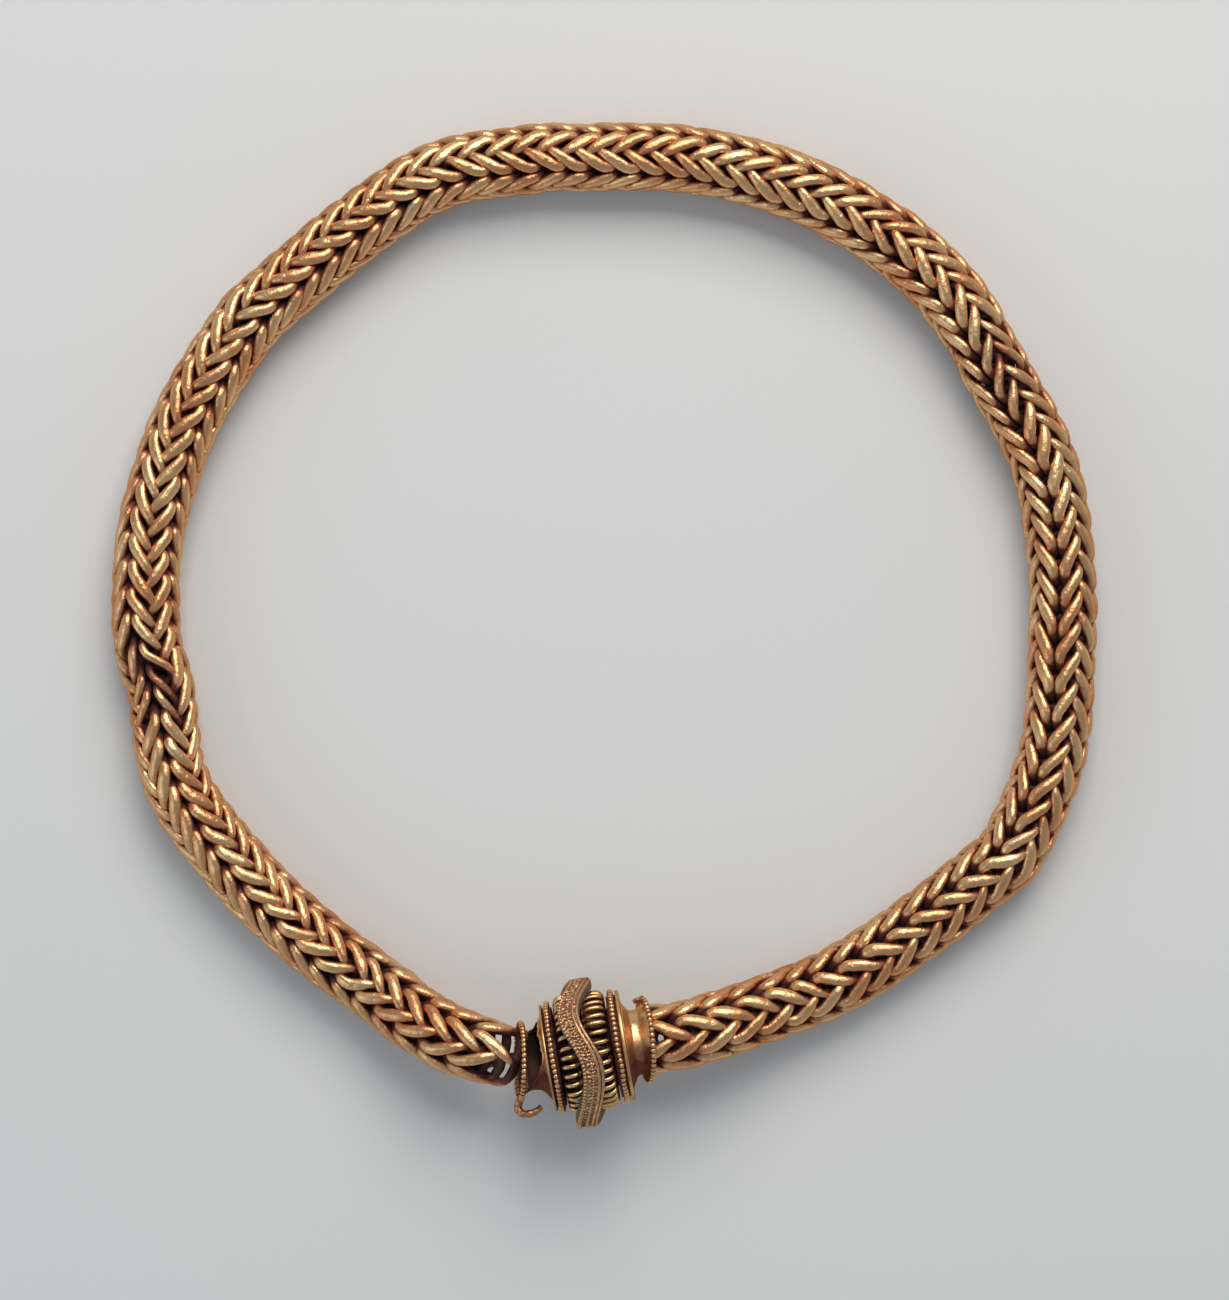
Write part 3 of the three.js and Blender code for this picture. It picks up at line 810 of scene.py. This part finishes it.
def coil(start, end, rng):
    low = SLEEVE_RADIUS + GAP
    half_width = (end - start) / 2 - COIL_WIRE
    half_height = (COIL_TOP - low) / 2 - COIL_WIRE
    turns = np.arange(COIL_TURNS * COIL_STEPS) / COIL_STEPS
    uneven = np.interp(turns, np.arange(COIL_TURNS), rng.normal(0, 0.13, COIL_TURNS), period=COIL_TURNS)
    sunk = np.interp(turns, np.arange(COIL_TURNS), rng.uniform(0, 0.3, COIL_TURNS), period=COIL_TURNS)
    wind = 2 * np.pi * turns
    angle = 360 / COIL_TURNS * (turns + uneven + LAG * np.cos(wind))
    across = -np.sign(np.cos(wind)) * np.abs(np.cos(wind)) ** 0.8
    rise = np.sign(np.sin(wind)) * np.abs(np.sin(wind)) ** 0.7
    radius = low + COIL_WIRE + half_height * (1 + rise) - sunk * (1 + rise) / 2
    path = on_clasp((start + end) / 2 + half_width * across, radius, angle)
    points, faces = tube(path, COIL_WIRE, 10)
    # Painted shade: each turn of wire is painted darker where it passes under, towards the sleeve.
    return points, faces, np.repeat(smooth_step(-rise, -0.75, 0.3), 10)


for name, (start, end) in (("left", coil_left), ("right", coil_right)):
    points, faces, soil_and_shade = coil(start, end, clasp_seed)
    piece = add_mesh(f"clasp_wire_coil_{name}", points, faces, [("soil_and_shade", soil_and_shade)])
    seat(piece, "gold_coil", coil_gold, f"clasp_coil_{name}")
    print(piece.name, "triangles:", 2 * len(faces))

# %% [markdown]
# The serpentine band is a strap that swings left and right as it goes round. Filigree covers it: a beaded
# wire on its left edge, fine cross ribs in the middle with a smaller row of beads among them, and two plain
# wires on its right. Towards the neck the wires are worn lower and more tarnished. The band is painted darker
# at its outer end, away from the neck, and painted shade darkens the creases between its ribs, its sides and
# its underside.

# %% The serpentine band
BAND_WIDTH = 3.5
BAND_TOP = 12.4
BAND_FOOT = COIL_TOP + GAP
BAND_SWING = 1.3
BAND_TURNS = [-75, -8, 38, 88, 145, 205]  # degrees from the top towards the neck; the first is to the left
BAND_STEPS = 900
RIB_STEPS = 8  # steps from one cross rib to the next
RIB_HEIGHT = 0.09
BAND_BED = 11.9  # the strap's own face, which the wires lie on


def band_middle(angle):
    turns = np.append(BAND_TURNS, BAND_TURNS[0] + 360)
    place = (np.asarray(angle, float) - turns[0]) % 360 + turns[0]
    reached = np.searchsorted(turns, place, side="right").clip(1, len(turns) - 1)
    part = (place - turns[reached - 1]) / (turns[reached] - turns[reached - 1])
    return np.where(reached % 2, -1, 1) * BAND_SWING * np.cos(np.pi * part)


band_angle = np.arange(BAND_STEPS)[:, None] * 360 / BAND_STEPS
face_across = np.linspace(-BAND_WIDTH / 2, BAND_WIDTH / 2, 23)
over = np.abs(face_across) / (BAND_WIDTH / 2)
face_radius = BAND_BED - 0.45 * smooth_step(over, 0.75, 1.0)
ribbed = smooth_step(face_across, -1.2, -0.9) * (1 - smooth_step(face_across, 0.3, 0.5))
ribs = np.cos(2 * np.pi * np.arange(BAND_STEPS)[:, None] / RIB_STEPS)
grains = sum(
    np.sin(np.radians(band_angle) * n + face_across * m + s)
    for n, m, s in zip(
        clasp_seed.integers(30, 110, 12), clasp_seed.uniform(-9, 9, 12), clasp_seed.uniform(0, 6.3, 12)
    )
)
strap_radius = face_radius + ribbed * ribs * RIB_HEIGHT + grains * 0.022
side_across = np.array([BAND_WIDTH / 2, BAND_WIDTH / 2 - 0.1, 0.0, -BAND_WIDTH / 2 + 0.1, -BAND_WIDTH / 2])
side_radius = np.array([BAND_FOOT + 0.2, BAND_FOOT, BAND_FOOT, BAND_FOOT, BAND_FOOT + 0.2])
strap_radius = np.hstack([strap_radius, np.broadcast_to(side_radius, (BAND_STEPS, 5))])
strap_across = np.concatenate([face_across, side_across])
strap_points = on_clasp(band_middle(band_angle) + strap_across, strap_radius, band_angle)
signed = (band_angle + 180) % 360 - 180
outer_end = smooth_step(-signed, 46, 75)
grainy_end = smooth_step(signed, 18, 45)
# Painted shade darkens the creases between the ribs, where the strap lies lower. The outer end is painted
# darker, and the neckward end a little.
strap_soil_and_shade = 0.26 - 0.22 * (strap_radius - BAND_BED) / RIB_HEIGHT + 0.5 * outer_end + 0.15 * grainy_end
strap_soil_and_shade = strap_soil_and_shade + 0.5 * (strap_radius < BAND_BED - 0.5)  # painted shade on its sides and underside
strap = (
    strap_points.reshape(-1, 3),
    grid_faces(BAND_STEPS, len(strap_across)),
    strap_soil_and_shade.clip(0, 1).ravel(),
)

wire_angle = np.arange(0, 360, 1.5)
worn_wire = 0.3 * smooth_step((wire_angle + 180) % 360 - 180, 20, 50)


def band_path(offset, radius):
    return on_clasp(band_middle(wire_angle) + offset, radius - worn_wire, wire_angle)


plain_wires = [
    tube(band_path(offset, radius), 0.27, 10) for offset, radius in ((0.78, 12.08), (1.42, 11.9))
]
filigree = [
    strap,
    beaded_wire(band_path(-1.42, 11.98), 0.34, 0.62, clasp_seed),
    beaded_wire(band_path(-0.1, 12.0), 0.27, 0.5, clasp_seed),
    *((points, faces, np.full(len(points), 0.15)) for points, faces in plain_wires),
]
points, faces = join([(p, f) for p, f, _ in filigree])
points[:, 2] = np.maximum(points[:, 2], 0.0)
band_soil_and_shade = np.concatenate([s for _, _, s in filigree])
band = add_mesh("clasp_serpentine_filigree", points, faces, [("soil_and_shade", band_soil_and_shade)])
seat(band, "gold_band", band_gold, "clasp_serpentine_band")
print(band.name, "triangles:", 2 * len(faces))

# %% [markdown]
# ## The terminals
#
# Each end of the chain sits in a spool of thin sheet gold with a beaded wire round its mouth. The mouths are
# turned a little towards the chain's curve. The sheet is dented all over. The left one is torn open: a table
# says how far its sheet still reaches at each angle, and a narrow strip has stayed with the rim.

# %% The collars
SHEET = 0.28
SPOOL = [0.98, 0.81, 0.81, 0.93]  # radius from the clasp to the mouth, over the mouth's
SPOOL_FOOT = 7.4
RIGHT_MOUTH = {"along": 10.3, "across": 0.36, "radius": 6.75, "yaw": -5.2, "dip": 9.7}
LEFT_MOUTH = {"along": -10.6, "across": 0.2, "radius": 6.2, "yaw": -10.4, "dip": 7.9}
RIGHT_FOOT = RIGHT_LIP[1] + 0.05
LEFT_FOOT = LEFT_LIP[0] - 0.05
TEAR = np.array([
    [-180, 1], [-80, 1], [-60, 0.82], [-44, 0.6], [-37, 0.66], [-20, 0.36], [-8, 0.3], [2, 0.14],
    [28, 0.12], [46, 0.2], [74, 0.12], [104, 0.3], [118, 0.66], [140, 0.9], [160, 1], [180, 1],
])
SHEET_STEPS = 216
SHEET_ROWS = 18
SHADED_SIDE = 60  # degrees from the top, away from the neck: the sheet is painted darkest here, as painted shade


def turned(mouth, part, points):
    """Turns places with the mouth: part is 0 at the clasp and 1 at the mouth."""
    dip = np.radians(mouth["dip"]) * part
    yaw = np.radians(mouth["yaw"]) * part
    x, y, z = np.moveaxis(points, -1, 0)
    ahead = x * np.cos(dip) + z * np.sin(dip)
    up = z * np.cos(dip) - x * np.sin(dip)
    forward = ahead * np.cos(yaw) - y * np.sin(yaw)
    neckward = ahead * np.sin(yaw) + y * np.cos(yaw)
    return np.stack([forward, neckward, up], axis=-1)


def on_collar(mouth, foot, part, angle, lift=0.0):
    """Places on a collar's outer face, or lifted off it, in the model."""
    part, angle, lift = np.broadcast_arrays(part, angle, lift)
    turn = np.radians(angle)
    radius = np.interp(part * (len(SPOOL) - 1), np.arange(len(SPOOL)), SPOOL) * mouth["radius"]
    radius = radius + (SPOOL_FOOT - SPOOL[0] * mouth["radius"]) * (1 - part) ** 4 + lift
    ring = np.stack([np.zeros_like(radius), radius * np.sin(turn), radius * np.cos(turn)], axis=-1)
    placed = turned(mouth, part**2, ring)
    placed[..., 0] += foot + (mouth["along"] - foot) * part
    placed[..., 1] += mouth["across"] * part**2
    return clasp_middle + placed @ CLASP_AXES


def collar(mouth, foot, reach, curl, dents):
    """A sheet collar: its outer face, then back along its inner face."""
    part = np.linspace(0, 1, SHEET_ROWS) * reach
    lift = -dents + curl * np.linspace(0, 1, SHEET_ROWS) ** 3
    angle = np.broadcast_to(sheet_angle, part.shape)
    outer = on_collar(mouth, foot, part, angle, lift)
    inner = on_collar(mouth, foot, part, angle, lift - SHEET)[:, ::-1]
    points = np.concatenate([outer, inner], axis=1)
    return points.reshape(-1, 3), grid_faces(SHEET_STEPS, 2 * SHEET_ROWS)


sheet_angle = np.arange(SHEET_STEPS)[:, None] * 360 / SHEET_STEPS - 180
sheet_seed = np.random.default_rng(12)
rows = np.linspace(0, 1, SHEET_ROWS)
dents = 0.05 + sum(
    0.05 * (1 + np.sin(np.radians(sheet_angle) * n + rows * m + s))
    for n, m, s in zip(
        sheet_seed.integers(2, 9, 5), sheet_seed.uniform(-5, 5, 5), sheet_seed.uniform(0, 6.3, 5)
    )
) / 2
tear_edge = np.interp(sheet_angle, TEAR[:, 0], TEAR[:, 1])
jagged = (tear_edge < 0.98) * wobble(sheet_angle, sheet_seed, 60, 0.025)
flap = 0.9 * np.exp(-(((sheet_angle + 38) / 9) ** 2)) + 0.3 * (tear_edge < 0.9)
no_curl = np.zeros_like(sheet_angle)

for side, mouth, foot, reach, curl in (
    ("right", RIGHT_MOUTH, RIGHT_FOOT, np.full_like(sheet_angle, 0.97), no_curl),
    ("left", LEFT_MOUTH, LEFT_FOOT, tear_edge * 0.97 + jagged, flap),
):
    points, faces = collar(mouth, foot, reach, curl, dents)
    # Painted shade: the outer face is painted darker towards the shaded side, and the inner face fully dark.
    shaded = 1 - smooth_step(np.abs(sheet_angle + SHADED_SIDE), 20, 70)
    outer_face = np.broadcast_to(0.12 + 0.5 * shaded, (SHEET_STEPS, SHEET_ROWS))
    soil_and_shade = np.hstack([outer_face, np.ones_like(outer_face)])
    piece = add_mesh(f"collar_sheet_{side}", points, faces, [("soil_and_shade", soil_and_shade.ravel())])
    seat(piece, "gold_sheet", sheet_gold, f"terminal_collar_{side}")
    print(piece.name, "triangles:", 2 * len(faces))

# %% The wires round the mouths
LEFT_WIRE_START = -112
LEFT_WIRE_SWEEP = -330
HOOK = np.array([[-12.2, -7.2, 0.5], [-11.5, -8.3, 0.9], [-9.7, -8.3, 1.1], [-8.3, -7.7, 1.0]])
HOOK_STEPS = 60
CURL = np.array([[10.7, 6.9, 1.6], [10.1, 7.15, 1.9], [9.4, 6.9, 1.8]])


def mouth_ring(mouth, angle):
    turn = np.radians(angle)
    ring = np.stack([0 * turn, np.sin(turn), np.cos(turn)], axis=-1) * mouth["radius"]
    return turned(mouth, 1.0, ring) + [mouth["along"], mouth["across"], 0.0]


def rounded_path(points):
    return clasp_middle + smooth_curve(points, 12) @ CLASP_AXES


right_ring = mouth_ring(RIGHT_MOUTH, np.arange(80, 80 - 350, -6.0))
points, faces, soil_and_shade = beaded_wire(rounded_path(right_ring), BEAD, BEAD_PITCH, sheet_seed, meets=False)
curled = tube(rounded_path(np.vstack([right_ring[:1], CURL])), 0.42, BEAD_SIDES, meets=False)
points, faces = join([(points, faces), curled])
soil_and_shade = np.concatenate([soil_and_shade, np.full(len(curled[0]), 0.35)])
rim = add_mesh("rim_beads_right", points, faces, [("soil_and_shade", soil_and_shade)])
seat(rim, "gold_beading", bead_gold, "terminal_rim_right")
print(rim.name, "triangles:", 2 * len(faces))

left_ring = mouth_ring(LEFT_MOUTH, np.linspace(LEFT_WIRE_START, LEFT_WIRE_START + LEFT_WIRE_SWEEP, 56))
rim_wire = beaded_wire(rounded_path(left_ring), BEAD, BEAD_PITCH, sheet_seed, meets=False)
hook_path = rounded_path(np.vstack([left_ring[-2:], HOOK]))
hook_path, _ = even_path(hook_path, HOOK_STEPS, False)
swell = 0.16 * np.sin(np.linspace(0.6, 3.0, HOOK_STEPS))
lumps = 0.03 * np.sin(np.linspace(0, 40, HOOK_STEPS))
hook = tube(hook_path, 0.5 + swell + lumps, BEAD_SIDES, meets=False)

STRIP_FROM, STRIP_TO = -82.0, 118.0
strip_angle = np.linspace(STRIP_FROM, STRIP_TO, 120)[:, None]
strip_width = 0.2 + 0.16 * smooth_step(strip_angle, 42, 60) - 0.12 * smooth_step(strip_angle, 100, 118)
strip_width = strip_width + wobble(strip_angle, sheet_seed, 40, 0.012)
strip_part = 0.98 - strip_width * np.linspace(0, 1, 8)
strip_lift = -0.12 * np.linspace(0, 1, 8) ** 2 * np.ones_like(strip_angle)
strip_outer = on_collar(LEFT_MOUTH, LEFT_FOOT, strip_part, strip_angle, strip_lift)
strip_inner = on_collar(LEFT_MOUTH, LEFT_FOOT, strip_part, strip_angle, strip_lift - SHEET)[:, ::-1]
strip_points = np.concatenate([strip_outer, strip_inner], axis=1)
strip = (strip_points.reshape(-1, 3), grid_faces(len(strip_angle), 16, rows_meet=False))
points, faces = join([rim_wire[:2], hook, strip])
soil_and_shade = np.concatenate([rim_wire[2], np.full(len(hook[0]), 0.3), np.full(len(strip[0]), 0.3)])
rim = add_mesh("rim_beads_left", points, faces, [("soil_and_shade", soil_and_shade)])
seat(rim, "gold_beading", bead_gold, "terminal_rim_left")
print(rim.name, "triangles:", 2 * len(faces))
